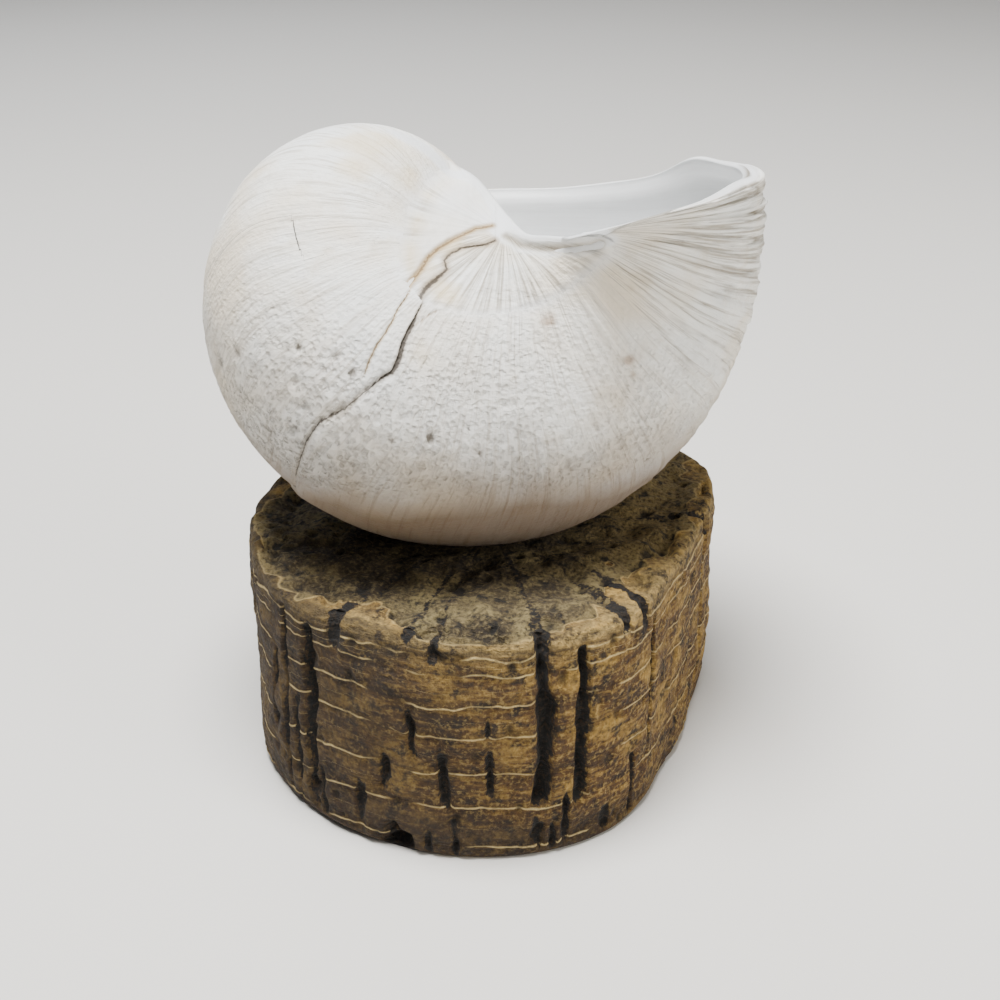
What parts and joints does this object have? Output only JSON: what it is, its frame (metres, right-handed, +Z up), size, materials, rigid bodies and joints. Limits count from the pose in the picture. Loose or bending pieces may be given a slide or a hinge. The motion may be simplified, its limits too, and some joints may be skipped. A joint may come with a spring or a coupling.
{
  "type": "moon snail shell on a cork stand",
  "caption": "Weathered white moon snail shell lying mouth up, resting on a low rounded block of natural cork that serves as its stand.",
  "frame": {"origin": "middle of the bounding box's bottom, on the surface that the cork stands on", "axes": "+Z up; -Y towards the side from which the shell's base and the growth lines show, +X towards the tip of the lip"},
  "size_m": [0.1116, 0.1114, 0.1292],
  "materials": {
    "weathered_shell": "chalky matt, smoother on the lip and inside",
    "weathered_cork": "dry, rough and weathered"
  },
  "bodies": {
    "root": {"moon_snail_shell": "weathered_shell", "cork_stand": "weathered_cork"}
  },
  "joints": []
}
